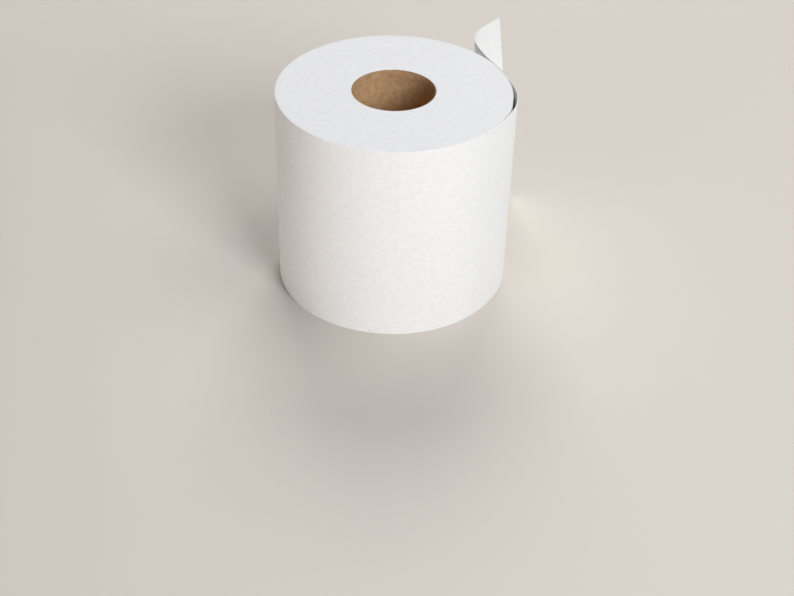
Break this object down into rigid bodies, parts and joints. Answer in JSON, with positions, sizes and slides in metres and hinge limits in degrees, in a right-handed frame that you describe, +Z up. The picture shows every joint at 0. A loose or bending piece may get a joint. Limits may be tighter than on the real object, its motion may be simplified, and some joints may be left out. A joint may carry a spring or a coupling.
{
  "type": "toilet paper roll",
  "caption": "Toilet tissue roll on its end: a web wound on a cardboard core, with a stretch of the outer turn bowed loose and a curled free tail.",
  "frame": {"origin": "on the roll's axis, at the lower end that it stands on", "axes": "+Z up along the axis of the core; +X to the side where the outer turn bows loose; the free tail lies towards +X +Y"},
  "size_m": [0.1195, 0.1323, 0.1],
  "materials": {
    "tissue_paper": "matte, soft creped",
    "core_board": "matte, unbleached"
  },
  "bodies": {
    "root": {"tissue": "tissue_paper", "core": "core_board"}
  },
  "joints": []
}
